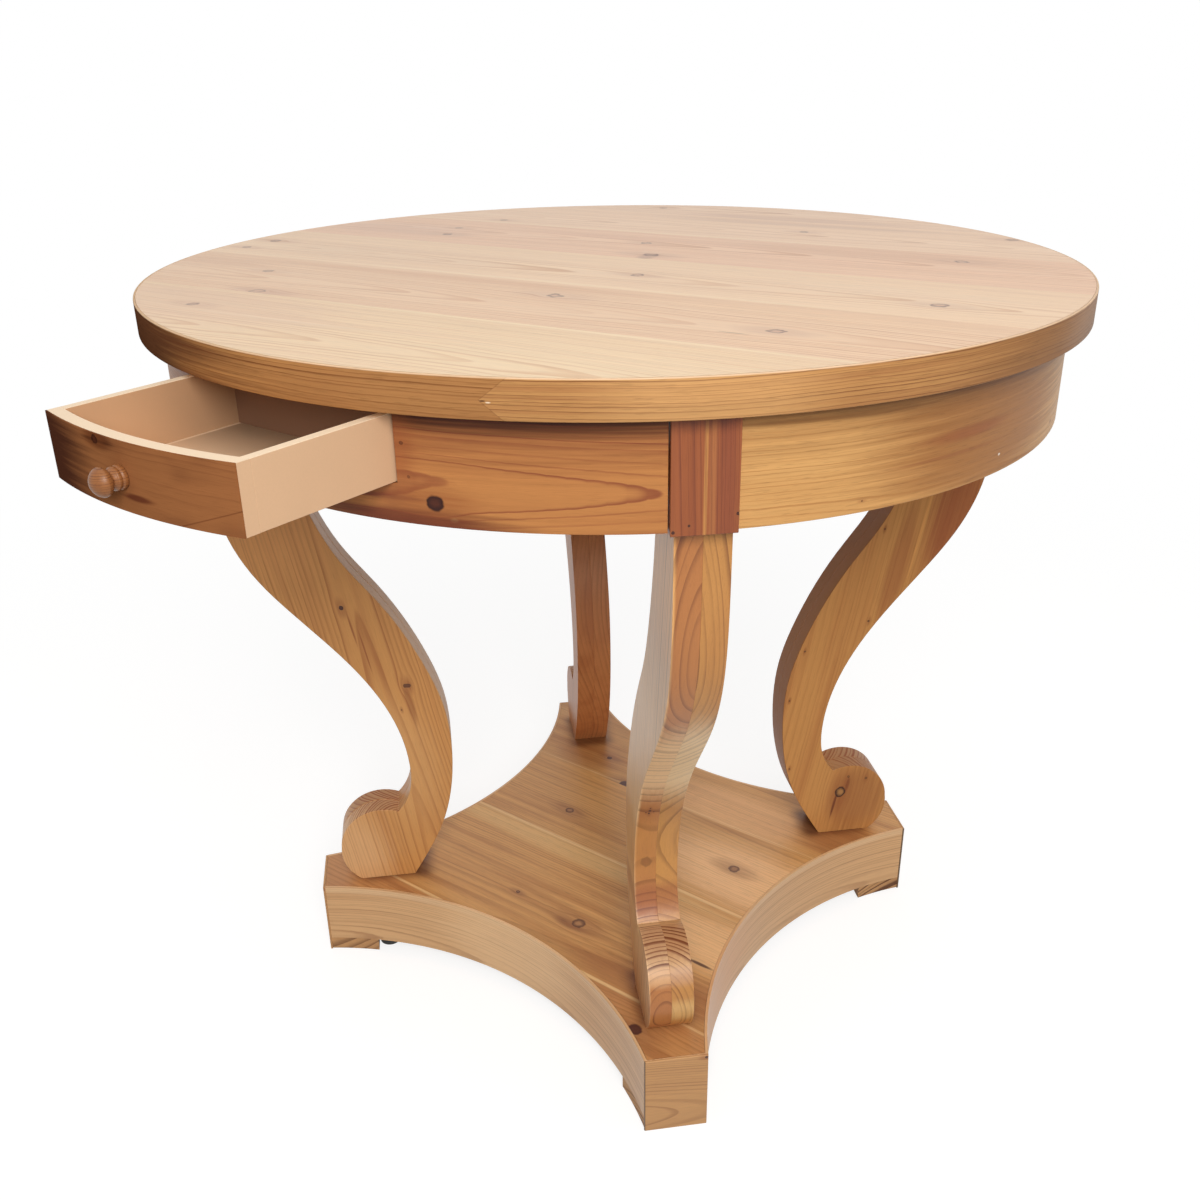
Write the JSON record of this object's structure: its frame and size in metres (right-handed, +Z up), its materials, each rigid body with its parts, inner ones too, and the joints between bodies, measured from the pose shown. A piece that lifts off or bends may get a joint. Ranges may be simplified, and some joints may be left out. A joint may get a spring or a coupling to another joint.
{
  "type": "tavern table",
  "caption": "Round pine table on scroll legs over a concave-sided plinth, with a bow-fronted drawer in the apron that slides out between two legs.",
  "frame": {"origin": "on the floor, on the table's vertical axis, midway between the four feet", "axes": "+Z up; -Y is the front, the way the drawer opens; +X to the right of someone facing the drawer front; the legs stand on the diagonals"},
  "size_m": [0.8999, 1.0373, 0.786],
  "materials": {
    "pine_top": "satin clear lacquer over knotty pine, pale",
    "pine_edge": "satin clear lacquer over pine veneer",
    "pine_apron": "satin clear lacquer over knotty pine veneer",
    "pine_leg": "satin clear lacquer over solid pine",
    "pine_plinth": "satin clear lacquer over knotty pine boards",
    "pine_side": "satin clear lacquer over pine veneer",
    "pine_foot": "lacquered end grain",
    "turned_knob": "semi-gloss lacquer over turned wood",
    "drawer_lining": "smooth matte beige lining",
    "raw_pine": "unfinished pine",
    "steel": "zinc plated",
    "black_rubber": "matt"
  },
  "bodies": {
    "table": {"apron_back": "pine_apron", "apron_front": "pine_apron", "apron_left": "pine_apron", "apron_right": "pine_apron", "corner_facing_back_left": "pine_side", "corner_facing_back_right": "pine_side", "corner_facing_front_left": "pine_side", "corner_facing_front_right": "pine_side", "cross_rail_lower": "raw_pine", "cross_rail_upper": "raw_pine", "drawer_bearer": "raw_pine", "drawer_front_rail": "raw_pine", "drawer_runner_left": "raw_pine", "drawer_runner_right": "raw_pine", "foot_back_left": "pine_foot", "foot_back_right": "pine_foot", "foot_front_left": "pine_foot", "foot_front_right": "pine_foot", "leg_back_left_half_a": "pine_leg", "leg_back_left_half_b": "pine_leg", "leg_back_right_half_a": "pine_leg", "leg_back_right_half_b": "pine_leg", "leg_bolts": "steel", "leg_front_left_half_a": "pine_leg", "leg_front_left_half_b": "pine_leg", "leg_front_right_half_a": "pine_leg", "leg_front_right_half_b": "pine_leg", "pilaster_back_left": "pine_apron", "pilaster_back_right": "pine_apron", "pilaster_front_left": "pine_apron", "pilaster_front_right": "pine_apron", "plinth_board_back": "pine_plinth", "plinth_board_front": "pine_plinth", "plinth_board_middle_back": "pine_plinth", "plinth_board_middle_front": "pine_plinth", "plinth_corner_block_back_left": "raw_pine", "plinth_corner_block_back_right": "raw_pine", "plinth_corner_block_front_left": "raw_pine", "plinth_corner_block_front_right": "raw_pine", "plinth_side_back": "pine_side", "plinth_side_front": "pine_side", "plinth_side_left": "pine_side", "plinth_side_right": "pine_side", "rubber_pads": "black_rubber", "top_board_1": "pine_top", "top_board_2": "pine_top", "top_board_3": "pine_top", "top_board_4": "pine_top", "top_board_5": "pine_top", "top_board_6": "pine_top", "top_edge_band": "pine_edge", "top_fixing_screws": "steel"},
    "drawer": {"drawer_front": "drawer_lining", "drawer_front_veneer": "pine_apron", "drawer_side_left": "drawer_lining", "drawer_side_right": "drawer_lining", "drawer_back": "drawer_lining", "drawer_floor": "drawer_lining", "drawer_knob": "turned_knob", "knob_screw": "steel"}
  },
  "joints": [
    {"name": "drawer_slide", "type": "slide", "parent": "table", "child": "drawer", "axis": [0, -1, 0], "range_m": [-0.134, 0.02]}
  ]
}
